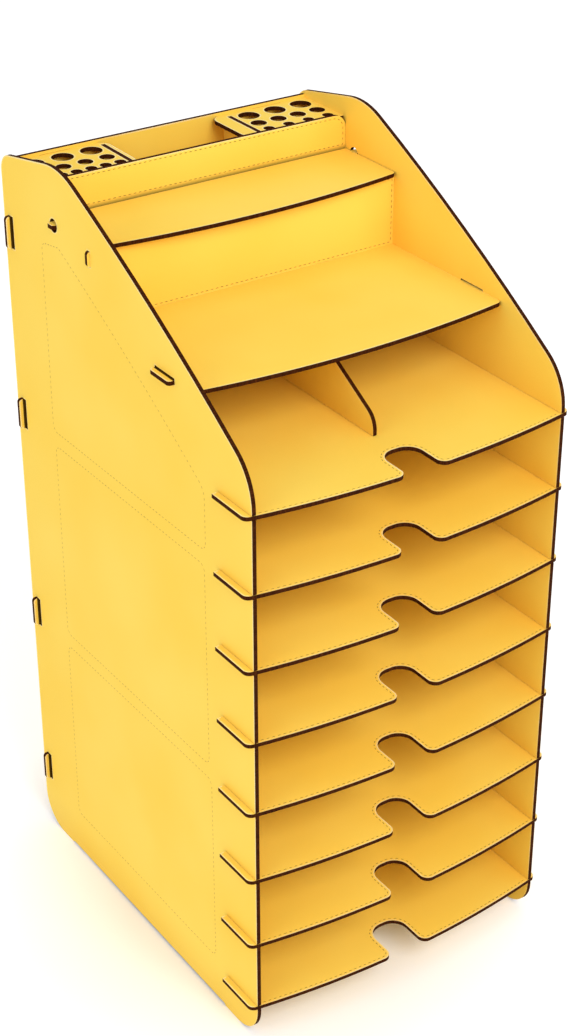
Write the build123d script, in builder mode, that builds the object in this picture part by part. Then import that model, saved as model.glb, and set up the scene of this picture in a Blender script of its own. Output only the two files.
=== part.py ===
"""Document tray tower: a slot-together desk organiser of flat board, in millimetres.

Two shaped side panels carry a stack of trays, a back panel, a lidded step and a pen box.
X runs across the tower, Y from front to back and Z up. The feet stand on Z = 0.
Depths are counted from the front edge of the side panels, heights from the table.
"""

import math
import os

from build123d import *

# Board, fits and cuts
board = 3.0  # thickness of every piece
slot_play = 0.2  # gap on each side of a piece in its slot
overrun = 5.0  # how far a cut runs past a free edge

# Tabs that several pieces share
tab_length = 24.0
tab_radius = 2.5

# Side panels
inner_width = 246.0  # clear width between the two panels
panel_depth = 317.0
brow_rise = 26.2  # from the top tray to where the sloped edge would meet the front edge
crown_setback = 84.0  # from the rear edge to where the sloped edge would meet the top edge
crown_rise = 17.2  # from the rim of the pen box to that corner
slope_bulge = 5.6  # rise of the sloped edge over a straight line
rear_rise = 1.3  # from the rim to where the falling top edge would meet the rear edge
brow_radius = 42.0
crown_radius = 60.0
rear_top_radius = 14.0
foot_radius = 27.0
foot_length = 43.0
foot_rise = 1.5  # lift of the bottom edge between the feet
foot_ramp = 2.0  # length over which it lifts

# Trays
tray_count = 8
tray_pitch = 57.5
lowest_tray = 31.0  # middle of the lowest tray
tray_bow = 10.5  # bulge of the front edge past the side panels
ear_reach = 5.0  # how far an ear stands out past the side panel
ear_length = 38.8
ear_radius = 5.0
lap_depth = 19.4  # slot in the side panel, the rest of the lap is cut in the tray
notch_width = 28.0
notch_depth = 22.6
notch_mouth_radius = 6.5
notch_floor_radius = 12.0
tray_tab_spacing = 140.0

# Back panel
back_inset = 6.7  # from its rear face to the rear edge of the side panels
back_slot_gap = 3.0  # open part of a slot in front of its tab
back_foot = 12.0  # its bottom edge
back_tab_shares = (0.0977, 0.3566, 0.6575, 0.906)  # heights of its tabs, of the rim's height
back_tab_reach = 4.0

# Stepped top: a ledge, and a box with a lid behind it
cubby_height = 54.3  # clear height over the top tray
shelf_front = 58.0  # at the middle of its bowed edge
shelf_corner_radius = 4.0
shelf_tab_depth = 101.0
shelf_tab_reach = 4.6  # how far a tab stands out past the side panel
shelf_slot_gap = 1.2  # open part of a slot above its tab
box_depth = 57.4  # inside the lidded box, from front to back
box_height = 52.1  # inside, from the floor to the lid
riser_tab_drop = 6.0  # from the lid to the middle of the riser's tab
riser_tab_length = 11.0
riser_tab_reach = 2.0
step_tab_spacing = 130.0

# Lid of the box: a flat tab at each end turns in a round hole
lid_lip = 12.7  # how far the middle of its bowed edge stands out past the riser
lid_gap = 0.5  # clear space at each end of the lid
lid_rear_gap = 1.5  # open line between the lid and the pen box
pivot_setback = 11.0  # from the pivot to the pen box
pivot_tab_width = 8.0
pivot_tab_reach = 3.0
pivot_tab_radius = 2.0
pivot_play = 0.7

# Centre divider over the top tray
divider_front = 44.5
divider_brow_rise = 12.5  # from the top tray to where its sloped edge would meet its front edge
divider_slope_angle = 29.5
divider_radius = 15.0
divider_tab_setback = 80.3  # from the back panel to the middle of its upper tab

# Pen box
pen_box_depth = 50.3  # inside, from front to back
pen_box_height = 81.1  # from its floor to the rim
pen_well_width = 68.5  # inside each of the two side wells
pen_panel_radius = 10.0
pen_divider_tab_rise = 27.7  # from the floor to the middle of its front and rear tabs
pen_tab_length = 40.0  # tab that holds a pen plate
pen_plate_drop = 3.9  # from the rim to the middle of the plate
left_plate_lap = 4.5  # how far a plate reaches past its divider
right_plate_lap = 13.6
pen_plate_radius = 9.0
pencil_hole_radius = 4.2
pencil_count = 6
pen_hole_radius = 5.5
pen_count = 4
marker_hole_radius = 8.0
marker_count = 3
liner_hole_radius = 6.0
liner_count = 4

# Places that follow from the sizes
inner_half = inner_width / 2
outer_half = inner_half + board
lap_middle = inner_half + board / 2
bow_radius = (lap_middle**2 + tray_bow**2) / (2 * tray_bow)
slot_width = board + 2 * slot_play
slot_length = tab_length + 2 * slot_play
tray_heights = [lowest_tray + tray_pitch * (tray_count - n) for n in range(1, tray_count + 1)]
top_tray = tray_heights[0]
tray_top = top_tray + board / 2
brow_height = top_tray + brow_rise
shelf_underside = tray_top + cubby_height
shelf_height = shelf_underside + board / 2
shelf_top = shelf_underside + board
lid_underside = shelf_top + box_height
lid_height = lid_underside + board / 2
rim_height = shelf_top + pen_box_height
crown_height = rim_height + crown_rise
rear_height = rim_height + rear_rise
crown_depth = panel_depth - crown_setback
back_depth = panel_depth - back_inset - board
back_tab_heights = [share * rim_height for share in back_tab_shares]
back_slot_width = slot_width + back_slot_gap
back_slot_middle = back_depth + (board - back_slot_gap) / 2
shelf_slot_height = slot_width + shelf_slot_gap
shelf_slot_middle = shelf_height + shelf_slot_gap / 2
pen_panel_rear = back_depth - pen_box_depth
pen_panel_depth = pen_panel_rear - board
riser_rear = pen_panel_depth - box_depth
riser_depth = riser_rear - board
riser_tab_height = lid_underside - riser_tab_drop
lid_front = riser_depth - lid_lip
pivot_depth = pen_panel_depth - pivot_setback
pivot_hole_radius = math.hypot(pivot_tab_width / 2, board / 2) + pivot_play
divider_foot = tray_top + slot_play
divider_brow_height = tray_top + divider_brow_rise
divider_top_tab_depth = back_depth - divider_tab_setback
divider_rear_tab_height = (divider_foot + shelf_underside) / 2
pen_divider_place = inner_half - pen_well_width - board / 2
pen_divider_tab_height = shelf_top + pen_divider_tab_rise
pen_well_depth = (pen_panel_rear + back_depth) / 2
pen_well_middle = inner_half - pen_well_width / 2
pen_plate_height = rim_height - pen_plate_drop
pen_plate_underside = pen_plate_height - board / 2
step_tab_places = [(-step_tab_spacing / 2), (step_tab_spacing / 2)]
tray_tab_places = [(-tray_tab_spacing / 2), (tray_tab_spacing / 2)]


def sag(x, radius):
    """How far a bowed edge has fallen back at a place across the tower."""
    return radius - math.sqrt(radius**2 - x**2)


# The lobes beside the finger notch stand furthest forward
lobe_place = notch_width / 2 + notch_mouth_radius
lobe_front = sag(lobe_place, bow_radius - notch_mouth_radius) - tray_bow
front_y = -(lobe_front + panel_depth) / 2


def upright(x):
    """Plane of a plate that stands along the tower: local x is the depth, local y the height."""
    return Plane(origin=(x, front_y, 0), x_dir=(0, 1, 0), z_dir=(1, 0, 0))


def across(depth):
    """Plane of a plate that stands across the tower, extruded towards the front."""
    return Plane(origin=(0, front_y + depth, 0), x_dir=(1, 0, 0), z_dir=(0, -1, 0))


def level(height):
    """Plane of a plate that lies flat, from the middle height of its board."""
    return Plane(origin=(0, front_y, height - board / 2), x_dir=(1, 0, 0), z_dir=(0, 0, 1))


def round_corners(sketch, corners):
    """Round the corners of a sketch, each a place and a radius."""
    for place, radius in corners:
        fillet(sketch.vertices().sort_by_distance(place)[0], radius)


os.makedirs("parts", exist_ok=True)

# Side panels: one outline, with slots for every piece that they hold
panel_outline = [
    (0, brow_height),
    (0, 0),
    (foot_length, 0),
    (foot_length + foot_ramp, foot_rise),
    (panel_depth - foot_length - foot_ramp, foot_rise),
    (panel_depth - foot_length, 0),
    (panel_depth, 0),
    (panel_depth, rear_height),
    (crown_depth, crown_height),
]
panel_corners = [
    ((0, 0), foot_radius),
    ((panel_depth, 0), foot_radius),
    ((panel_depth, rear_height), rear_top_radius),
    ((crown_depth, crown_height), crown_radius),
    ((0, brow_height), brow_radius),
]
for label, panel_x in (("left_side_panel", -outer_half), ("right_side_panel", inner_half)):
    with BuildPart() as panel:
        with BuildSketch(upright(panel_x)) as outline:
            with BuildLine():
                Polyline(*panel_outline)
                SagittaArc((crown_depth, crown_height), (0, brow_height), -slope_bulge)
            make_face()
            round_corners(outline, panel_corners)
            with Locations(*[((lap_depth - overrun) / 2, height) for height in tray_heights]):
                Rectangle(lap_depth + overrun, slot_width, mode=Mode.SUBTRACT)
            with Locations(*[(back_slot_middle, height) for height in back_tab_heights]):
                Rectangle(back_slot_width, slot_length, mode=Mode.SUBTRACT)
            with Locations((shelf_tab_depth, shelf_slot_middle)):
                Rectangle(slot_length, shelf_slot_height, mode=Mode.SUBTRACT)
            with Locations((riser_depth + board / 2, riser_tab_height)):
                Rectangle(slot_width, riser_tab_length + 2 * slot_play, mode=Mode.SUBTRACT)
            with Locations((pivot_depth, lid_height)):
                Circle(pivot_hole_radius, mode=Mode.SUBTRACT)
        extrude(amount=board)
    panel.part.label = label
    export_step(panel.part, f"parts/{label}.step")

# Trays: bowed front, flared finger notch, and ears that lap over the side panels
ear_edge = outer_half + ear_reach
ear_inside = outer_half + slot_play
body_edge = inner_half - slot_play
notch_half = notch_width / 2
tray_rear = back_depth - slot_play
tray_tab_end = back_depth + board


def bow(x):
    """Depth of the bowed front edge at a place across the tray."""
    return sag(x, bow_radius) - tray_bow


lobe_middle = (notch_half + ear_edge) / 2
tray_tab_near = (tray_tab_spacing - tab_length) / 2
tray_tab_far = (tray_tab_spacing + tab_length) / 2
tray_side = [
    (ear_edge, bow(ear_edge)),
    (ear_edge, ear_length),
    (ear_inside, ear_length),
    (ear_inside, lap_depth - slot_play),
    (body_edge, lap_depth - slot_play),
    (body_edge, tray_rear),
    (tray_tab_far, tray_rear),
    (tray_tab_far, tray_tab_end),
    (tray_tab_near, tray_tab_end),
    (tray_tab_near, tray_rear),
    (0, tray_rear),
]
tray_corners = []
for side in (-1, 1):
    tray_corners += [
        ((side * ear_edge, bow(ear_edge)), ear_radius),
        ((side * notch_half, bow(notch_half)), notch_mouth_radius),
        ((side * notch_half, notch_depth), notch_floor_radius),
    ]
for number, height in enumerate(tray_heights, start=1):
    with BuildPart() as tray:
        with BuildSketch(level(height)) as blank:
            with BuildLine():
                Polyline((0, notch_depth), (notch_half, notch_depth), (notch_half, bow(notch_half)))
                ThreePointArc(
                    (notch_half, bow(notch_half)),
                    (lobe_middle, bow(lobe_middle)),
                    (ear_edge, bow(ear_edge)),
                )
                Polyline(*tray_side)
                mirror(about=Plane.YZ)
            make_face()
            round_corners(blank, tray_corners)
        extrude(amount=board)
    tray.part.label = f"tray_{number}"
    export_step(tray.part, f"parts/tray_{number}.step")

# Back panel: rounded tabs through the side panels, slots for what plugs into it
back_tab_length = board + back_tab_reach
back_tab_middle = inner_half + back_tab_length / 2
with BuildPart() as back_panel:
    with BuildSketch(across(back_depth + board)) as sheet:
        with Locations((0, (back_foot + rim_height) / 2)):
            Rectangle(inner_width, rim_height - back_foot)
        for side in (-1, 1):
            with Locations(*[(side * back_tab_middle, height) for height in back_tab_heights]):
                Rectangle(back_tab_length, tab_length)
        tab_ends = sheet.vertices().group_by(Axis.X)
        fillet(tab_ends[0] + tab_ends[-1], tab_radius)
        for height in tray_heights + [shelf_height]:
            with Locations(*[(place, height) for place in tray_tab_places]):
                Rectangle(slot_length, slot_width, mode=Mode.SUBTRACT)
        with Locations((0, divider_rear_tab_height)):
            Rectangle(slot_width, slot_length, mode=Mode.SUBTRACT)
        for side in (-1, 1):
            with Locations((side * pen_divider_place, pen_divider_tab_height)):
                Rectangle(slot_width, slot_length, mode=Mode.SUBTRACT)
            with Locations((side * pen_well_middle, pen_plate_height)):
                Rectangle(slot_length, slot_width, mode=Mode.SUBTRACT)
    extrude(amount=board)
back_panel.part.label = "back_panel"
export_step(back_panel.part, "parts/back_panel.step")

# Step shelf: roof of the top compartments, ledge, and floor of the lidded box and the pen box
shelf_tab_length = board + shelf_tab_reach
shelf_tab_middle = inner_half + shelf_tab_length / 2
shelf_end = shelf_front + sag(inner_half, bow_radius)
with BuildPart() as step_shelf:
    with BuildSketch(level(shelf_height)) as sheet:
        with BuildLine():
            ThreePointArc((-inner_half, shelf_end), (0, shelf_front), (inner_half, shelf_end))
            Polyline(
                (inner_half, shelf_end),
                (inner_half, back_depth),
                (-inner_half, back_depth),
                (-inner_half, shelf_end),
            )
        make_face()
        shelf_corners = [((side * inner_half, shelf_end), shelf_corner_radius) for side in (-1, 1)]
        round_corners(sheet, shelf_corners)
        for side in (-1, 1):
            with Locations((side * shelf_tab_middle, shelf_tab_depth)):
                Rectangle(shelf_tab_length, tab_length)
        tab_ends = sheet.vertices().group_by(Axis.X)
        fillet(tab_ends[0] + tab_ends[-1], tab_radius)
        with Locations(*[(place, back_depth + board / 2) for place in tray_tab_places]):
            Rectangle(tab_length, board)
        for depth in (riser_depth, pen_panel_depth):
            with Locations(*[(place, depth + board / 2) for place in step_tab_places]):
                Rectangle(slot_length, slot_width, mode=Mode.SUBTRACT)
        with Locations((0, divider_top_tab_depth)):
            Rectangle(slot_width, slot_length, mode=Mode.SUBTRACT)
        for side in (-1, 1):
            with Locations((side * pen_divider_place, pen_well_depth)):
                Rectangle(slot_width, slot_length, mode=Mode.SUBTRACT)
    extrude(amount=board)
step_shelf.part.label = "step_shelf"
export_step(step_shelf.part, "parts/step_shelf.step")

# Step riser: front wall of the lidded box, its top edge carries the lid
riser_tab_span = board + riser_tab_reach
riser_tab_middle = inner_half + riser_tab_span / 2
with BuildPart() as riser:
    with BuildSketch(across(riser_rear)) as sheet:
        with Locations((0, (shelf_top + lid_underside) / 2)):
            Rectangle(inner_width, lid_underside - shelf_top)
        for side in (-1, 1):
            with Locations((side * riser_tab_middle, riser_tab_height)):
                Rectangle(riser_tab_span, riser_tab_length)
        tab_ends = sheet.vertices().group_by(Axis.X)
        fillet(tab_ends[0] + tab_ends[-1], tab_radius)
        with Locations(*[(place, shelf_height) for place in step_tab_places]):
            Rectangle(tab_length, board)
    extrude(amount=board)
riser.part.label = "step_riser"
export_step(riser.part, "parts/step_riser.step")

# Lid: bowed lip over the riser, flat pivot tabs that reach through the side panels
lid_edge = inner_half - lid_gap
lid_end = lid_front + sag(lid_edge, bow_radius)
lid_rear = pen_panel_depth - lid_rear_gap
pivot_tab_end = outer_half + pivot_tab_reach
with BuildPart() as lid:
    with BuildSketch(level(lid_height)) as sheet:
        with BuildLine():
            ThreePointArc((-lid_edge, lid_end), (0, lid_front), (lid_edge, lid_end))
            Polyline((lid_edge, lid_end), (lid_edge, lid_rear), (-lid_edge, lid_rear), (-lid_edge, lid_end))
        make_face()
        round_corners(sheet, [((side * lid_edge, lid_end), shelf_corner_radius) for side in (-1, 1)])
        with Locations((0, pivot_depth)):
            Rectangle(2 * pivot_tab_end, pivot_tab_width)
        tab_ends = sheet.vertices().group_by(Axis.X)
        fillet(tab_ends[0] + tab_ends[-1], pivot_tab_radius)
    extrude(amount=board)
lid.part.label = "box_lid"
export_step(lid.part, "parts/box_lid.step")

# Pen box front panel: wall between the lidded box and the pens, with rounded top corners
pen_panel_edge = inner_half - slot_play
with BuildPart() as pen_panel:
    with BuildSketch(across(pen_panel_rear)) as sheet:
        with Locations((0, (shelf_top + rim_height) / 2)):
            Rectangle(2 * pen_panel_edge, rim_height - shelf_top)
        fillet(sheet.vertices().group_by(Axis.Y)[-1], pen_panel_radius)
        with Locations(*[(place, shelf_height) for place in step_tab_places]):
            Rectangle(tab_length, board)
        for side in (-1, 1):
            with Locations((side * pen_divider_place, pen_divider_tab_height)):
                Rectangle(slot_width, slot_length, mode=Mode.SUBTRACT)
    extrude(amount=board)
pen_panel.part.label = "pen_box_front"
export_step(pen_panel.part, "parts/pen_box_front.step")

# Pen dividers: tabs into the floor, the front, the back and the pen plate above
for label, middle in (("left_pen_divider", -pen_divider_place), ("right_pen_divider", pen_divider_place)):
    with BuildPart() as pen_divider:
        with BuildSketch(upright(middle - board / 2)):
            with Locations((pen_well_depth, (shelf_top + pen_plate_underside) / 2)):
                Rectangle(back_depth - pen_panel_rear, pen_plate_underside - shelf_top)
            with Locations((pen_well_depth, shelf_height)):
                Rectangle(tab_length, board)
            with Locations((pen_well_depth, pen_divider_tab_height)):
                Rectangle(back_depth - pen_panel_rear + 2 * board, tab_length)
            with Locations((pen_well_depth, pen_plate_height)):
                Rectangle(pen_tab_length, board)
        extrude(amount=board)
    pen_divider.part.label = label
    export_step(pen_divider.part, f"parts/{label}.step")

# Pen plates: rows of round holes, each plate hung on its divider and in the back panel
left_rows = [
    (pencil_count, pencil_hole_radius),
    (pen_count, pen_hole_radius),
    (marker_count, marker_hole_radius),
]
right_rows = [
    (liner_count, pencil_hole_radius),
    (liner_count, liner_hole_radius),
    (marker_count, marker_hole_radius),
]
for label, side, lap, rows in (
    ("left_pen_plate", -1, left_plate_lap, left_rows),
    ("right_pen_plate", 1, right_plate_lap, right_rows),
):
    pen_plate_end = pen_divider_place - lap
    with BuildPart() as pen_plate:
        with BuildSketch(level(pen_plate_height)) as sheet:
            with Locations((side * (pen_plate_end + inner_half) / 2, pen_well_depth)):
                Rectangle(inner_half - pen_plate_end, back_depth - pen_panel_rear)
            inner_corners = [
                ((side * pen_plate_end, pen_panel_rear), pen_plate_radius),
                ((side * pen_plate_end, back_depth), pen_plate_radius),
            ]
            round_corners(sheet, inner_corners)
            with Locations((side * pen_well_middle, back_depth + board / 2)):
                Rectangle(tab_length, board)
            with Locations((side * pen_divider_place, pen_well_depth)):
                Rectangle(slot_width, pen_tab_length + 2 * slot_play, mode=Mode.SUBTRACT)
            row_gap = (pen_box_depth - sum(2 * radius for count, radius in rows)) / (len(rows) + 1)
            row_front = pen_panel_rear
            for count, radius in rows:
                with Locations((side * pen_well_middle, row_front + row_gap + radius)):
                    with GridLocations(pen_well_width / count, pen_well_width, count, 1):
                        Circle(radius, mode=Mode.SUBTRACT)
                row_front += row_gap + 2 * radius
        extrude(amount=board)
    pen_plate.part.label = label
    export_step(pen_plate.part, f"parts/{label}.step")

# Centre divider: splits the space over the top tray, its front leaning like the side panels
divider_slope = math.tan(math.radians(divider_slope_angle))
divider_top_front = divider_front + (shelf_underside - divider_brow_height) / divider_slope
divider_outline = [
    (divider_front, divider_foot),
    (divider_front, divider_brow_height),
    (divider_top_front, shelf_underside),
    (back_depth, shelf_underside),
    (back_depth, divider_foot),
]
with BuildPart() as centre_divider:
    with BuildSketch(upright(-board / 2)) as sheet:
        with BuildLine():
            Polyline(*divider_outline, close=True)
        make_face()
        round_corners(sheet, [((divider_front, divider_brow_height), divider_radius)])
        with Locations((divider_top_tab_depth, shelf_height)):
            Rectangle(tab_length, board)
        with Locations((back_depth + board / 2, divider_rear_tab_height)):
            Rectangle(board, tab_length)
    extrude(amount=board)
centre_divider.part.label = "centre_divider"
export_step(centre_divider.part, "parts/centre_divider.step")
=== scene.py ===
"""Looks of a slot-together document tray tower: painted board, scorched cut edges and dashed stitch lines.

All lengths are in metres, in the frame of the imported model: X across the tower, Y from front to back, Z up.
"""

import logging
import math
from dataclasses import dataclass
from enum import Enum

import bpy
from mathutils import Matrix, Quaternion, Vector


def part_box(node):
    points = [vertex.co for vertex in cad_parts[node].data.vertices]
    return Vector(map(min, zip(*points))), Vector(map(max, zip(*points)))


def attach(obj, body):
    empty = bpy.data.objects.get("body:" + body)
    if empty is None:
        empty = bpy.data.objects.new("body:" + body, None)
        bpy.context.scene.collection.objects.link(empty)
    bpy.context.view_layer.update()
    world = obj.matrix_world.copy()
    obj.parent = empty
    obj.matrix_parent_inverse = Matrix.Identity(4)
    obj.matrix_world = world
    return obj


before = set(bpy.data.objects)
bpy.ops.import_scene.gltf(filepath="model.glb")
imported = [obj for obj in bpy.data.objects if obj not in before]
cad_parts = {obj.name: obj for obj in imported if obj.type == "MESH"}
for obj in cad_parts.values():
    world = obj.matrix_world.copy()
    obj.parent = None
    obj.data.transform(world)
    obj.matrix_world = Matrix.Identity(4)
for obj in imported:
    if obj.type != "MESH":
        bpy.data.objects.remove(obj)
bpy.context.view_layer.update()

LOG = logging.getLogger("tray_tower")
MM = 0.001

Colour = tuple[float, float, float, float]
Point = tuple[float, float, float]
FlatPoint = tuple[float, float]
Span = tuple[float, float]
Socket = bpy.types.NodeSocket
Value = Socket | float | tuple[float, ...] | list[float]

WHITE: Colour = (1.0, 1.0, 1.0, 1.0)
UPWARD: Point = (0.0, 0.0, 1.0)
FRONTWARD: Point = (0.0, -1.0, 0.0)

# Directions seen from above, in degrees
RIGHT = 0.0
REAR = 90.0
FRONT = -90.0
LEFT = -180.0


def srgb(red: int, green: int, blue: int) -> Colour:
    """Scene-linear colour of an 8-bit screen colour, by the standard curve.

    Args:
        red: Red level, 0 to 255.
        green: Green level, 0 to 255.
        blue: Blue level, 0 to 255.

    Returns:
        The linear colour with full opacity.
    """
    levels = [level / 255 for level in (red, green, blue)]
    linear = [v / 12.92 if v <= 0.04045 else ((v + 0.055) / 1.055) ** 2.4 for v in levels]
    return (linear[0], linear[1], linear[2], 1.0)


class Lie(Enum):
    """Which way the two broad faces of a flat board look."""

    UPRIGHT = "X"  # boards that stand from front to back
    ACROSS = "Y"  # boards that stand across the tower
    LEVEL = "Z"  # boards that lie flat


TRAY_NODES = tuple(f"tray_{number}" for number in range(1, 9))
BOARDS: dict[Lie, tuple[str, ...]] = {
    Lie.UPRIGHT: (
        "left_side_panel",
        "right_side_panel",
        "centre_divider",
        "left_pen_divider",
        "right_pen_divider",
    ),
    Lie.ACROSS: ("back_panel", "step_riser", "pen_box_front"),
    Lie.LEVEL: (*TRAY_NODES, "step_shelf", "box_lid", "left_pen_plate", "right_pen_plate"),
}


@dataclass(frozen=True)
class GapShade:
    """A zone of painted shade on a board's faces, between two distances along one axis."""

    axis: str
    start: float
    end: float
    blur: float = 0.1 * MM  # length over which it fades out past its end
    share: float = 1.0  # how much of the paint it covers
    mirrored: bool = True  # the same on both sides of the middle


# Painted shade in gaps: tabs darkened where they stand in wide slots of the side panels, and the pen box
# front at its foot behind the lid
GAP_SHADES: dict[str, GapShade] = {
    "back_panel": GapShade("X", 123.6 * MM, 127.0 * MM),
    "step_shelf": GapShade("X", -127.0 * MM, -124.8 * MM, mirrored=False),
    "pen_box_front": GapShade("Z", 543.0 * MM, 547.3 * MM, 3.5 * MM, 0.55),
}


class Blend(Enum):
    """What a Mix node blends: its data type, the two sockets that go in and the one that comes out."""

    NUMBER = ("FLOAT", 2, 3, 0)
    COLOUR = ("RGBA", 6, 7, 2)


class Wiring:
    """A node tree with short calls that add nodes and join their sockets."""

    def __init__(self, tree: bpy.types.NodeTree) -> None:
        """Start from an empty tree."""
        self.tree = tree
        tree.nodes.clear()

    def add(self, kind: str, **settings: object) -> bpy.types.Node:
        """Add one node.

        Args:
            kind: Blender's name of the node type.
            **settings: Properties of the node.

        Returns:
            The new node.
        """
        node = self.tree.nodes.new(kind)
        for name, value in settings.items():
            setattr(node, name, value)
        return node

    def feed(self, socket: Socket, value: Value) -> None:
        """Join a socket to another socket, or set it to a plain value.

        Args:
            socket: Socket that takes the value.
            value: The other socket or the plain value.
        """
        if isinstance(value, Socket):
            self.tree.links.new(value, socket)
        else:
            socket.default_value = value

    def show(self, shader: bpy.types.Node, output: str = "ShaderNodeOutputMaterial") -> None:
        """Join a shader to a new output node of the tree."""
        self.feed(self.add(output).inputs["Surface"], shader.outputs[0])

    def math(self, operation: str, *values: Value) -> Socket:
        """Work out a number.

        Args:
            operation: Name of the sum.
            *values: Sockets or numbers that go in.

        Returns:
            The socket that holds the result.
        """
        node = self.add("ShaderNodeMath", operation=operation)
        for socket, value in zip(node.inputs, values):
            self.feed(socket, value)
        return node.outputs[0]

    def compare(self, operation: str, first: Value, second: Value) -> Socket:
        """Work out a number from two vectors.

        Args:
            operation: Name of the sum.
            first: First vector.
            second: Second vector.

        Returns:
            The socket that holds the result.
        """
        node = self.add("ShaderNodeVectorMath", operation=operation)
        self.feed(node.inputs[0], first)
        self.feed(node.inputs[1], second)
        return node.outputs["Value"]

    def part(self, vector: Socket, axis: str) -> Socket:
        """Take one part of a vector.

        Args:
            vector: The vector.
            axis: X, Y or Z.

        Returns:
            The socket with that part.
        """
        node = self.add("ShaderNodeSeparateXYZ")
        self.feed(node.inputs[0], vector)
        return node.outputs[axis]

    def spread(self, value: Socket, given: Span, wanted: Span = (0.0, 1.0)) -> Socket:
        """Map a number from one range to another, held at its ends.

        Args:
            value: Number that goes in.
            given: Range that it comes from.
            wanted: Range that it goes to.

        Returns:
            The socket that holds the result.
        """
        node = self.add("ShaderNodeMapRange")
        for socket, item in zip(node.inputs, (value, *given, *wanted)):
            self.feed(socket, item)
        return node.outputs[0]

    def blend(self, kind: Blend, share: Socket, first: Value, second: Value) -> Socket:
        """Blend two numbers or two colours.

        Args:
            kind: What is blended.
            share: How much of the second one counts.
            first: The one that counts where the share is 0.
            second: The one that counts where the share is 1.

        Returns:
            The blended number or colour.
        """
        data_type, first_index, second_index, result_index = kind.value
        node = self.add("ShaderNodeMix", data_type=data_type)
        self.feed(node.inputs[0], share)
        self.feed(node.inputs[first_index], first)
        self.feed(node.inputs[second_index], second)
        return node.outputs[result_index]

    def mix(self, share: Socket, first: Value, second: Value) -> Socket:
        """Blend two colours by the share of the second."""
        return self.blend(Blend.COLOUR, share, first, second)

    def choose(self, share: Socket, first: Value, second: Value) -> Socket:
        """Blend two numbers by the share of the second."""
        return self.blend(Blend.NUMBER, share, first, second)

    def noise(self, where: Socket, scale: float, detail: float) -> Socket:
        """Soft random values.

        Args:
            where: Coordinates.
            scale: How fine the noise is.
            detail: How many finer layers it has.

        Returns:
            The socket with the values, about 0.5 on average.
        """
        node = self.add("ShaderNodeTexNoise")
        self.feed(node.inputs["Vector"], where)
        self.feed(node.inputs["Scale"], scale)
        self.feed(node.inputs["Detail"], detail)
        return node.outputs["Fac"]


def blank_material(name: str) -> tuple[bpy.types.Material, Wiring]:
    """A new material with an empty node tree.

    Args:
        name: Name of the material.

    Returns:
        The material and the wiring of its tree.
    """
    material = bpy.data.materials.new(name)
    material.use_nodes = True
    return material, Wiring(material.node_tree)


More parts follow.
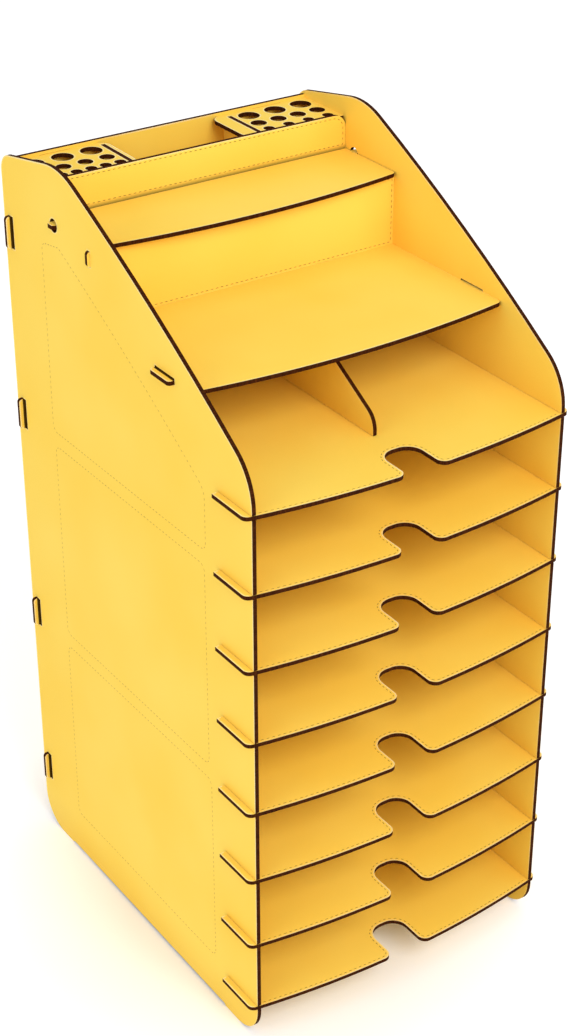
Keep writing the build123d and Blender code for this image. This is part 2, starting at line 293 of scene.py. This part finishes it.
@dataclass(frozen=True)
class BoardFinish:
    """Yellow painted board with a fine pebbled skin, cut by heat so that its edges are charred, with painted
    shade in corners and gaps and a painted highlight along the cut edges.
    """

    face: Colour = srgb(254, 218, 95)
    face_deep: Colour = srgb(253, 212, 84)
    # painted highlight: a pale line beside the cut edges, where a softened edge would catch the light
    arris_highlight: Colour = srgb(255, 243, 202)
    char: Colour = srgb(46, 16, 2)
    char_light: Colour = srgb(76, 36, 8)
    # painted shade: the dark olive of a yellow face deep in a gap
    gap_shade: Colour = srgb(74, 50, 8)
    shade: Colour = srgb(222, 152, 34)
    face_limit: float = 0.6  # how squarely a face looks along the thin way of its board
    arris_width: float = 1.8 * MM
    arris_turn: Span = (0.998, 0.975)  # how well the softened normal agrees, on the face and at the cut edge
    arris_room: Span = (0.7, 0.92)  # the painted highlight fades where other boards are this close
    arris_samples: int = 3
    ear_start: float = 128.0 * MM  # from here out a board stands free of the side panels
    shade_reach: float = 35.0 * MM
    shade_room: Span = (0.95, 0.5)  # openness at which a corner's shade starts and is full
    shade_share: float = 0.24
    shade_samples: int = 4
    cloud_scale: float = 9.0
    cloud_detail: float = 2.0
    cloud_range: Span = (0.35, 0.65)
    pebble_scale: float = 1100.0
    streak_scale: float = 1700.0
    streak_length_share: float = 0.06
    streak_range: Span = (0.4, 0.7)
    fine_detail: float = 1.0  # of the pebbles and the streaks
    bump_strength: float = 0.12
    bump_height: float = 0.15 * MM
    sheen_range: Span = (0.3, 0.7)
    face_roughness: Span = (0.46, 0.56)
    char_roughness: float = 0.85
    specular: float = 0.06

    def highlight_rim_mask(self, wires: Wiring) -> Socket:
        """Where a face comes close to a cut edge, the zone of the painted highlight.

        Args:
            wires: Tree to add the nodes to.

        Returns:
            A socket that is 1 at the arris and 0 on the open face.
        """
        soft = wires.add("ShaderNodeBevel", samples=self.arris_samples)
        wires.feed(soft.inputs["Radius"], self.arris_width)
        sharp = wires.add("ShaderNodeNewGeometry")
        turn = wires.compare("DOT_PRODUCT", soft.outputs[0], sharp.outputs["True Normal"])
        return wires.spread(turn, self.arris_turn)

    def openness(self, wires: Wiring) -> Socket:
        """How free a face is of other boards close by.

        Args:
            wires: Tree to add the nodes to.

        Returns:
            A socket that is 1 in the open and falls in corners.
        """
        corner = wires.add("ShaderNodeAmbientOcclusion", samples=self.shade_samples)
        wires.feed(corner.inputs["Distance"], self.shade_reach)
        return corner.outputs["AO"]

    def gap_shade_mask(self, wires: Wiring, where: Socket, gap_shade: GapShade) -> Socket:
        """Where the faces of a board get painted shade in a gap.

        Args:
            wires: Tree to add the nodes to.
            where: Object coordinates.
            gap_shade: The zone of painted shade.

        Returns:
            A socket that is highest where the painted shade is full and 0 elsewhere.
        """
        away = wires.part(where, gap_shade.axis)
        if gap_shade.mirrored:
            away = wires.math("ABSOLUTE", away)
        begun = wires.math("GREATER_THAN", away, gap_shade.start)
        fading = wires.spread(away, (gap_shade.end, gap_shade.end + gap_shade.blur), (gap_shade.share, 0.0))
        return wires.math("MULTIPLY", begun, fading)

    def paint(self, wires: Wiring, where: Socket, cloud: Socket, gap_shade: GapShade | None) -> Socket:
        """Colour of the faces: cloudy paint, with painted shade in corners and gaps and a painted highlight
        along the cut edges.

        Args:
            wires: Tree to add the nodes to.
            where: Object coordinates.
            cloud: Slow random values over the board.
            gap_shade: The zone of painted shade in the board's gaps, if it has one.

        Returns:
            The socket with the colour.
        """
        colour = wires.mix(wires.spread(cloud, self.cloud_range), self.face, self.face_deep)
        # Painted shade: faces close to other boards darken towards the shade colour
        room = self.openness(wires)
        corner = wires.spread(room, self.shade_room, (0.0, self.shade_share))
        colour = wires.mix(corner, colour, self.shade)
        # Painted highlight: a pale line along the cut edges, faded where other boards are close, kept on the
        # ears
        outward = wires.math("ABSOLUTE", wires.part(where, "X"))
        ear = wires.math("GREATER_THAN", outward, self.ear_start)
        free = wires.math("MAXIMUM", wires.spread(room, self.arris_room), ear)
        rim_highlight = wires.math("MULTIPLY", self.highlight_rim_mask(wires), free)
        colour = wires.mix(rim_highlight, colour, self.arris_highlight)
        # Painted shade in the gaps where tabs stand in wide slots, and behind the lid
        if gap_shade:
            colour = wires.mix(self.gap_shade_mask(wires, where, gap_shade), colour, self.gap_shade)
        return colour

    def streaks(self, wires: Wiring, where: Socket, lie: Lie) -> Socket:
        """Fine streaks that run through the thickness of the board on its cut edges.

        Args:
            wires: Tree to add the nodes to.
            where: Object coordinates.
            lie: Which way the board's faces look.

        Returns:
            The socket with soft random values.
        """
        along = wires.add("ShaderNodeMapping")
        stretch = [1.0, 1.0, 1.0]
        stretch["XYZ".index(lie.value)] = self.streak_length_share
        wires.feed(along.inputs["Vector"], where)
        wires.feed(along.inputs["Scale"], stretch)
        return wires.noise(along.outputs[0], self.streak_scale, self.fine_detail)

    def material(self, lie: Lie, gap_shade: GapShade | None = None) -> bpy.types.Material:
        """Finish for boards that lie one way.

        Args:
            lie: Which way the board's faces look.
            gap_shade: The zone of painted shade in the board's gaps, if it has one.

        Returns:
            The material.
        """
        name = f"board_{lie.name.lower()}"
        material, wires = blank_material(f"{name}_sooty" if gap_shade else name)
        place = wires.add("ShaderNodeTexCoord")
        where = place.outputs["Object"]
        flatness = wires.math("ABSOLUTE", wires.part(place.outputs["Normal"], lie.value))
        on_face = wires.math("GREATER_THAN", flatness, self.face_limit)
        cloud = wires.noise(where, self.cloud_scale, self.cloud_detail)
        paint = self.paint(wires, where, cloud, gap_shade)
        streak = self.streaks(wires, where, lie)
        burn = wires.mix(wires.spread(streak, self.streak_range), self.char, self.char_light)

        pebble = wires.noise(where, self.pebble_scale, self.fine_detail)
        bump = wires.add("ShaderNodeBump")
        wires.feed(bump.inputs["Strength"], self.bump_strength)
        wires.feed(bump.inputs["Distance"], self.bump_height)
        wires.feed(bump.inputs["Height"], wires.choose(on_face, streak, pebble))

        shader = wires.add("ShaderNodeBsdfPrincipled")
        wires.feed(shader.inputs["Base Color"], wires.mix(on_face, burn, paint))
        sheen = wires.spread(cloud, self.sheen_range, self.face_roughness)
        wires.feed(shader.inputs["Roughness"], wires.choose(on_face, self.char_roughness, sheen))
        wires.feed(shader.inputs["Normal"], bump.outputs[0])
        wires.feed(shader.inputs["Specular IOR Level"], self.specular)
        wires.show(shader)
        return material


@dataclass(frozen=True)
class StitchFinish:
    """Short scorched dashes that look like sewing along the boards' borders."""

    name: str
    thread: Colour
    thread_dark: Colour
    fleck_scale: float = 260.0
    fleck_detail: float = 2.0
    fleck_range: Span = (0.35, 0.65)
    sheen_range: Span = (0.3, 0.7)
    roughness: Span = (0.6, 0.8)

    def material(self) -> bpy.types.Material:
        """Finish of the dashes.

        Returns:
            The material.
        """
        material, wires = blank_material(self.name)
        place = wires.add("ShaderNodeTexCoord")
        fleck = wires.noise(place.outputs["Object"], self.fleck_scale, self.fleck_detail)
        tone = wires.mix(wires.spread(fleck, self.fleck_range), self.thread, self.thread_dark)
        shader = wires.add("ShaderNodeBsdfPrincipled")
        wires.feed(shader.inputs["Base Color"], tone)
        wires.feed(shader.inputs["Roughness"], wires.spread(fleck, self.sheen_range, self.roughness))
        wires.show(shader)
        return material


FAINT_STITCH = StitchFinish("stitch_faint", srgb(192, 144, 42), srgb(168, 120, 32))
DEEP_STITCH = StitchFinish("stitch_deep", srgb(150, 117, 34), srgb(124, 93, 24))

STITCH_INPUTS: dict[str, str] = {
    "Path": "NodeSocketGeometry",
    "Pitch": "NodeSocketFloat",
    "Dash Length": "NodeSocketFloat",
    "Dash Width": "NodeSocketFloat",
    "Dash Rise": "NodeSocketFloat",
    "Face Normal": "NodeSocketVector",
    "Seed": "NodeSocketInt",
    "Finish": "NodeSocketMaterial",
}


@dataclass
class StitchLine:
    """A row of dashes along a path on a board, made by a node tree with named sizes."""

    material: bpy.types.Material
    pitch: float = 4.1 * MM
    dash_length: float = 2.5 * MM
    dash_width: float = 0.55 * MM
    dash_rise: float = 0.08 * MM
    half_shares: Span = (0.44, 0.54)  # shortest and longest half of a dash, as shares of its length
    segments: int = 8
    rings: int = 4
    seed: int = 7

    def tree(self) -> bpy.types.NodeTree:
        """The node tree that lays dashes along a curve.

        Returns:
            The tree, made once and used for every row.
        """
        found = bpy.data.node_groups.get("stitch_line")
        if found is not None:
            return found
        tree = bpy.data.node_groups.new("stitch_line", "GeometryNodeTree")
        for name, kind in STITCH_INPUTS.items():
            tree.interface.new_socket(name, in_out="INPUT", socket_type=kind)
        tree.interface.new_socket("Dashes", in_out="OUTPUT", socket_type="NodeSocketGeometry")
        wires = Wiring(tree)
        given = wires.add("NodeGroupInput").outputs
        points = wires.add("GeometryNodeCurveToPoints", mode="LENGTH")
        wires.feed(points.inputs["Curve"], given["Path"])
        wires.feed(points.inputs["Length"], given["Pitch"])
        dash = wires.add("GeometryNodeMeshUVSphere")
        wires.feed(dash.inputs["Segments"], self.segments)
        wires.feed(dash.inputs["Rings"], self.rings)
        wires.feed(dash.inputs["Radius"], 1.0)
        turn = wires.add("FunctionNodeAxesToRotation", primary_axis="Z", secondary_axis="X")
        wires.feed(turn.inputs[0], given["Face Normal"])
        wires.feed(turn.inputs[1], points.outputs["Tangent"])
        uneven = wires.add("FunctionNodeRandomValue", data_type="FLOAT")
        limits = dict(zip(("Min", "Max"), self.half_shares))
        for socket in uneven.inputs:
            if socket.type == "VALUE" and socket.name in limits:
                wires.feed(socket, limits[socket.name])
            elif socket.name == "Seed":
                wires.feed(socket, given["Seed"])
        size = wires.add("ShaderNodeCombineXYZ")
        wires.feed(size.inputs[0], wires.math("MULTIPLY", given["Dash Length"], uneven.outputs["Value"]))
        wires.feed(size.inputs[1], wires.math("MULTIPLY", given["Dash Width"], 0.5))
        wires.feed(size.inputs[2], given["Dash Rise"])
        row = wires.add("GeometryNodeInstanceOnPoints")
        wires.feed(row.inputs["Points"], points.outputs["Points"])
        wires.feed(row.inputs["Instance"], dash.outputs["Mesh"])
        wires.feed(row.inputs["Rotation"], turn.outputs[0])
        wires.feed(row.inputs["Scale"], size.outputs[0])
        real = wires.add("GeometryNodeRealizeInstances")
        wires.feed(real.inputs[0], row.outputs[0])
        painted = wires.add("GeometryNodeSetMaterial")
        wires.feed(painted.inputs["Geometry"], real.outputs[0])
        wires.feed(painted.inputs["Material"], given["Finish"])
        wires.feed(wires.add("NodeGroupOutput").inputs[0], painted.outputs[0])
        return tree

    def guide(self, name: str, paths: list[list[Point]], closed: bool) -> bpy.types.Object:
        """The curve that the dashes follow.

        Args:
            name: Name of the finished piece.
            paths: Points of each path, on the board's face.
            closed: Whether each path runs back to its start.

        Returns:
            The curve object, linked to the scene.
        """
        curve = bpy.data.curves.new(f"{name}_path", "CURVE")
        curve.dimensions = "3D"
        for path in paths:
            spline = curve.splines.new("POLY")
            spline.points.add(len(path) - 1)
            for slot, point in zip(spline.points, path):
                slot.co = (*point, 1.0)
            spline.use_cyclic_u = closed
        guide = bpy.data.objects.new(f"{name}_guide", curve)
        bpy.context.scene.collection.objects.link(guide)
        return guide

    def dashes(self, guide: bpy.types.Object, normal: Point) -> bpy.types.Mesh:
        """Turn a curve into the plain mesh of its dashes.

        Args:
            guide: The curve, which is removed.
            normal: Direction that the face looks in.

        Returns:
            The mesh of all dashes.
        """
        tree = self.tree()
        modifier = guide.modifiers.new("dashes", "NODES")
        modifier.node_group = tree
        values = {
            "Pitch": self.pitch,
            "Dash Length": self.dash_length,
            "Dash Width": self.dash_width,
            "Dash Rise": self.dash_rise,
            "Face Normal": normal,
            "Seed": self.seed,
            "Finish": self.material,
        }
        for item in tree.interface.items_tree:
            if item.in_out == "INPUT" and item.name in values:
                modifier[item.identifier] = values[item.name]
        guide.update_tag()
        bpy.context.view_layer.update()
        view = bpy.context.evaluated_depsgraph_get()
        mesh = bpy.data.meshes.new_from_object(guide.evaluated_get(view), depsgraph=view)
        guide.modifiers.clear()
        bpy.data.objects.remove(guide)
        for polygon in mesh.polygons:
            polygon.use_smooth = True
        return mesh

    def sew(self, name: str, body: str, paths: list[list[Point]], closed: bool, normal: Point) -> None:
        """Lay dashes along paths on one board.

        Args:
            name: Name of the finished piece.
            body: Body that the piece moves with.
            paths: Points of each path, on the board's face.
            closed: Whether each path runs back to its start.
            normal: Direction that the face looks in.
        """
        mesh = self.dashes(self.guide(name, paths, closed), normal)
        mesh.name = name
        piece = bpy.data.objects.new(name, mesh)
        bpy.context.scene.collection.objects.link(piece)
        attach(piece, body)
        LOG.info("%s: %d faces on %s", name, len(mesh.polygons), body)


def arc(centre: FlatPoint, radius: float, start: float, end: float, steps: int) -> list[FlatPoint]:
    """Points along a circular arc.

    Args:
        centre: Middle of the circle.
        radius: Its radius.
        start: Angle of the first point, in degrees.
        end: Angle of the last point, in degrees.
        steps: How many pieces the arc has.

    Returns:
        The points, both ends included.
    """
    turns = [math.radians(start + (end - start) * step / steps) for step in range(steps + 1)]
    return [(centre[0] + radius * math.cos(turn), centre[1] + radius * math.sin(turn)) for turn in turns]


def rounded(corners: list[Point], steps: int = 8) -> list[FlatPoint]:
    """A closed outline whose corners are rounded.

    Args:
        corners: Each corner's two coordinates and its radius, in order.
        steps: How many pieces each corner has.

    Returns:
        The points of the outline.
    """
    points = []
    for index, (across, up, radius) in enumerate(corners):
        here = Vector((across, up))
        before = (Vector(corners[index - 1][:2]) - here).normalized()
        after = (Vector(corners[(index + 1) % len(corners)][:2]) - here).normalized()
        half = before.angle(after) / 2
        reach = radius / math.tan(half)
        middle = here + (before + after).normalized() * (radius / math.sin(half))
        first = here + before * reach - middle
        last = here + after * reach - middle
        sweep = first.angle_signed(last)
        for step in range(steps + 1):
            turn = -sweep * step / steps
            aside = first.x * math.cos(turn) - first.y * math.sin(turn)
            above = first.x * math.sin(turn) + first.y * math.cos(turn)
            points.append(tuple(middle + Vector((aside, above))))
    return points


@dataclass
class Trays:
    """The eight loose trays, each with a dashed line along its bowed and notched front."""

    half_width: float = 123.0 * MM
    lap_middle: float = 124.5 * MM
    bow: float = 10.5 * MM
    notch_half: float = 14.0 * MM
    notch_depth: float = 22.6 * MM
    mouth_radius: float = 6.5 * MM
    floor_radius: float = 12.0 * MM
    inset: float = 2.4 * MM
    end_gap: float = 4.0 * MM
    bow_steps: int = 24
    mouth_steps: int = 6
    floor_steps: int = 10

    def stitch_path(self, front: float, height: float) -> list[Point]:
        """Path that follows the front edge of one tray, inside it.

        Args:
            front: Y of the side panels' front edge.
            height: Z of the tray's upper face.

        Returns:
            Points from the left end to the right end.
        """
        bow_radius = (self.lap_middle**2 + self.bow**2) / (2 * self.bow)
        bow_centre = bow_radius - self.bow
        line_radius = bow_radius - self.inset
        lobe_x = self.notch_half + self.mouth_radius
        lobe_y = bow_centre - math.sqrt((bow_radius - self.mouth_radius) ** 2 - lobe_x**2)
        lean = math.degrees(math.asin(lobe_x / (bow_radius - self.mouth_radius)))
        end = math.degrees(math.asin((self.half_width - self.end_gap) / line_radius))
        floor_x = self.notch_half - self.floor_radius
        floor_y = self.notch_depth - self.floor_radius
        half = arc((0.0, bow_centre), line_radius, FRONT + end, FRONT + lean, self.bow_steps)
        half += arc((lobe_x, lobe_y), self.mouth_radius - self.inset, FRONT + lean, LEFT, self.mouth_steps)
        half += arc((floor_x, floor_y), self.floor_radius + self.inset, RIGHT, REAR, self.floor_steps)
        path = [(-across, depth) for across, depth in half] + half[::-1]
        return [(across, depth + front, height) for across, depth in path]

    def dress(self, stitches: StitchLine, front: float) -> None:
        """Sew the front line of every tray.

        Args:
            stitches: The row of dashes.
            front: Y of the side panels' front edge.
        """
        for name in TRAY_NODES:
            path = self.stitch_path(front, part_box(name)[1].z)
            stitches.sew(f"{name}_stitching", name, [path], False, UPWARD)


@dataclass
class SidePanels:
    """The two shaped panels, each with three stitched outlines on its outer face."""

    front_line: float = 56.0 * MM
    rear_line: float = 262.0 * MM
    top_floor: float = 382.6 * MM
    brow: float = 428.0 * MM
    crown_depth: float = 238.0 * MM
    crown: float = 531.3 * MM
    rear_top: float = 527.4 * MM
    slope_bulge: float = 5.0 * MM
    slope_radius: float = 1800.0 * MM
    middle_span: Span = (210.0 * MM, 371.0 * MM)
    middle_ends: Span = (58.0 * MM, 260.0 * MM)
    bottom_span: Span = (38.7 * MM, 198.5 * MM)
    bottom_ends: Span = (55.5 * MM, 260.5 * MM)
    corner: float = 6.0 * MM
    brow_corner: float = 14.0 * MM

    def outlines(self) -> list[list[FlatPoint]]:
        """Three closed outlines, as depth behind the front edge and height.

        Returns:
            The top, middle and bottom outlines.
        """
        foot = Vector((self.front_line, self.brow))
        head = Vector((self.crown_depth, self.crown))
        out = Vector((foot.y - head.y, head.x - foot.x)).normalized()
        bend = (foot + head) / 2 + out * self.slope_bulge
        top = [
            (self.front_line, self.top_floor, self.corner),
            (self.rear_line, self.top_floor, self.corner),
            (self.rear_line, self.rear_top, self.corner),
            (head.x, head.y, self.corner),
            (bend.x, bend.y, self.slope_radius),
            (foot.x, foot.y, self.brow_corner),
        ]
        lines = [rounded(top)]
        for (low, high), (near, far) in (
            (self.middle_span, self.middle_ends),
            (self.bottom_span, self.bottom_ends),
        ):
            corners = [(near, low), (far, low), (far, high), (near, high)]
            lines.append(rounded([(depth, height, self.corner) for depth, height in corners]))
        return lines

    def dress(self, stitches: StitchLine, front: float) -> None:
        """Sew the outlines on both outer faces.

        Args:
            stitches: The row of dashes.
            front: Y of the side panels' front edge.
        """
        for node, side in (("left_side_panel", -1.0), ("right_side_panel", 1.0)):
            low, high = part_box(node)
            face = low.x if side < 0 else high.x
            paths = [[(face, depth + front, height) for depth, height in line] for line in self.outlines()]
            stitches.sew(f"{node}_stitching", "frame", paths, True, (side, 0.0, 0.0))


@dataclass
class SteppedTop:
    """The riser and the pen box front, each with a stitched border on the face that shows."""

    riser_inset: float = 1.8 * MM
    pen_inset: float = 2.2 * MM
    pen_foot_inset: float = 3.1 * MM
    corner: float = 1.0 * MM
    pen_top_corner: float = 8.1 * MM

    def border(
        self, low: Vector, high: Vector, bottom: float, inset: float, top_corner: float
    ) -> list[Point]:
        """A rectangle inside the front face of a board.

        Args:
            low: Lowest corner of the board.
            high: Highest corner of the board.
            bottom: Z of its lower line.
            inset: Distance from the border at the sides and the top.
            top_corner: Radius of the two upper corners.

        Returns:
            Points of the closed line.
        """
        left, right = low.x + inset, high.x - inset
        top = high.z - inset
        corners = [
            (left, bottom, self.corner),
            (right, bottom, self.corner),
            (right, top, top_corner),
            (left, top, top_corner),
        ]
        return [(across, low.y, up) for across, up in rounded(corners)]

    def dress(self, stitches: StitchLine) -> None:
        """Sew the borders of the riser and the pen box front.

        Args:
            stitches: The row of dashes.
        """
        shelf_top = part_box("step_shelf")[1].z
        lid_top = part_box("box_lid")[1].z
        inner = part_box("right_side_panel")[0].x
        low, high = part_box("step_riser")
        low.x, high.x = -inner, inner
        riser = self.border(low, high, shelf_top + self.riser_inset, self.riser_inset, self.corner)
        stitches.sew("step_riser_stitching", "frame", [riser], True, FRONTWARD)
        low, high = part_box("pen_box_front")
        pen_front = self.border(low, high, lid_top + self.pen_foot_inset, self.pen_inset, self.pen_top_corner)
        stitches.sew("pen_box_front_stitching", "frame", [pen_front], True, FRONTWARD)


def facing(direction: Vector) -> Quaternion:
    """Turn of a lamp or camera that looks in a direction."""
    return direction.to_track_quat("-Z", "Y")


@dataclass(frozen=True)
class Lamp:
    """A soft round lamp: its place, its diameter and its power in watts."""

    name: str
    place: Point
    size: float
    power: float


@dataclass
class Studio:
    """Pale floor, soft lamps, white surroundings and the camera."""

    floor_size: float = 8.0
    floor_drop: float = 0.2 * MM
    floor_tone: Colour = srgb(246, 245, 243)
    floor_tone_light: Colour = srgb(250, 249, 248)
    floor_cloud_scale: float = 1.5
    floor_cloud_detail: float = 2.0
    floor_roughness: float = 0.9
    floor_lift: Span = (0.03, 0.4)  # the floor's own light beside the tower and away from it
    floor_lift_reach: Span = (0.10, 0.27)
    floor_lift_centre: Point = (-0.04, -0.02, 0.0)
    fill: float = 0.63
    lamps: tuple[Lamp, ...] = (
        Lamp("left", (-2.7, -0.5, 1.3), 1.8, 16.8),
        Lamp("front", (-0.25, -2.4, 2.25), 1.8, 52.0),
    )
    aim: Point = (0.0, 0.0, 0.28)
    eye: Point = (-0.7273, -1.0870, 1.0717)
    azimuth: float = 33.819
    pitch: float = 29.865
    roll: float = -0.15
    focal_pixels: float = 2076.81
    image_height: float = 1036.0
    sensor: float = 36.0
    near_clip: float = 0.05

    def seen_directly(self, wires: Wiring) -> Socket:
        """Whether a ray comes from the camera, a mirror-like surface or glass.

        Args:
            wires: Tree to add the nodes to.

        Returns:
            A socket that is 1 for such rays and 0 for others.
        """
        path = wires.add("ShaderNodeLightPath").outputs
        either = wires.math("MAXIMUM", path["Is Camera Ray"], path["Is Glossy Ray"])
        return wires.math("MAXIMUM", either, path["Is Transmission Ray"])

    def floor_material(self) -> bpy.types.Material:
        """Pale floor that keeps the shade beside the tower and looks white away from it.

        Returns:
            The material.
        """
        material, wires = blank_material("floor_pale")
        where = wires.add("ShaderNodeTexCoord").outputs["Object"]
        cloud = wires.noise(where, self.floor_cloud_scale, self.floor_cloud_detail)
        away = wires.compare("DISTANCE", where, self.floor_lift_centre)
        lift = wires.spread(away, self.floor_lift_reach, self.floor_lift)
        shown = wires.math("MULTIPLY", self.seen_directly(wires), lift)
        shader = wires.add("ShaderNodeBsdfPrincipled")
        tone = wires.mix(cloud, self.floor_tone, self.floor_tone_light)
        wires.feed(shader.inputs["Base Color"], tone)
        wires.feed(shader.inputs["Roughness"], self.floor_roughness)
        wires.feed(shader.inputs["Emission Color"], WHITE)
        wires.feed(shader.inputs["Emission Strength"], shown)
        wires.show(shader)
        return material

    def build_floor(self) -> None:
        """Lay a pale floor just under the feet."""
        half = self.floor_size / 2
        mesh = bpy.data.meshes.new("floor")
        ground = ((-half, -half), (half, -half), (half, half), (-half, half))
        mesh.from_pydata([(*corner, -self.floor_drop) for corner in ground], [], [(0, 1, 2, 3)])
        mesh.materials.append(self.floor_material())
        floor = bpy.data.objects.new("floor", mesh)
        bpy.context.scene.collection.objects.link(floor)

    def build_world(self) -> None:
        """Surround the tower with soft light that looks white to the camera."""
        world = bpy.data.worlds.new("studio")
        world.use_nodes = True
        bpy.context.scene.world = world
        wires = Wiring(world.node_tree)
        seen = self.seen_directly(wires)
        sky = wires.add("ShaderNodeBackground")
        wires.feed(sky.inputs["Color"], WHITE)
        wires.feed(sky.inputs["Strength"], wires.choose(seen, self.fill, 1.0))
        wires.show(sky, "ShaderNodeOutputWorld")

    def build_lamps(self) -> None:
        """Hang the soft lamps and point them at the tower."""
        for lamp in self.lamps:
            light = bpy.data.lights.new(lamp.name, "AREA")
            light.shape = "DISK"
            light.size = lamp.size
            light.energy = lamp.power
            holder = bpy.data.objects.new(lamp.name, light)
            holder.location = lamp.place
            holder.rotation_euler = facing(Vector(self.aim) - Vector(lamp.place)).to_euler()
            bpy.context.scene.collection.objects.link(holder)

    def build_camera(self) -> None:
        """Stand the camera where the photograph was taken from."""
        lens = bpy.data.cameras.new("camera")
        lens.sensor_fit = "VERTICAL"
        lens.sensor_height = self.sensor
        lens.lens = self.focal_pixels / self.image_height * self.sensor
        lens.clip_start = self.near_clip
        turn, dip = math.radians(self.azimuth), math.radians(self.pitch)
        gaze = Vector((math.sin(turn) * math.cos(dip), math.cos(turn) * math.cos(dip), -math.sin(dip)))
        camera = bpy.data.objects.new("camera", lens)
        camera.location = self.eye
        own_axis = (0.0, 0.0, 1.0)  # the camera looks along its own Z
        tilt = Quaternion(own_axis, math.radians(self.roll))
        camera.rotation_euler = (facing(gaze) @ tilt).to_euler()
        bpy.context.scene.collection.objects.link(camera)
        bpy.context.scene.camera = camera

    def build(self) -> None:
        """Build the whole stage."""
        self.build_floor()
        self.build_world()
        self.build_lamps()
        self.build_camera()
        bpy.context.scene.view_settings.view_transform = "Standard"


def dress_boards(finish: BoardFinish) -> None:
    """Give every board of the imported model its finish.

    Args:
        finish: The painted and charred board.
    """
    for lie, names in BOARDS.items():
        plain = finish.material(lie)
        for name in names:
            material = finish.material(lie, GAP_SHADES[name]) if name in GAP_SHADES else plain
            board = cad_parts[name]
            if not board.data.materials:
                board.data.materials.append(material)
            for slot in board.material_slots:
                slot.material = material
            LOG.info("%s: board finish, %s", name, lie.name.lower())


def main() -> None:
    """Build the looks piece by piece, then the stage, and log each piece as it is made."""
    logging.basicConfig(level=logging.INFO, format="%(message)s")
    dress_boards(BoardFinish())
    faint = StitchLine(FAINT_STITCH.material())
    deep = StitchLine(DEEP_STITCH.material())
    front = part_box("left_side_panel")[0].y
    Trays().dress(deep, front)
    SidePanels().dress(faint, front)
    SteppedTop().dress(deep)
    Studio().build()


if __name__ == "__main__":
    main()
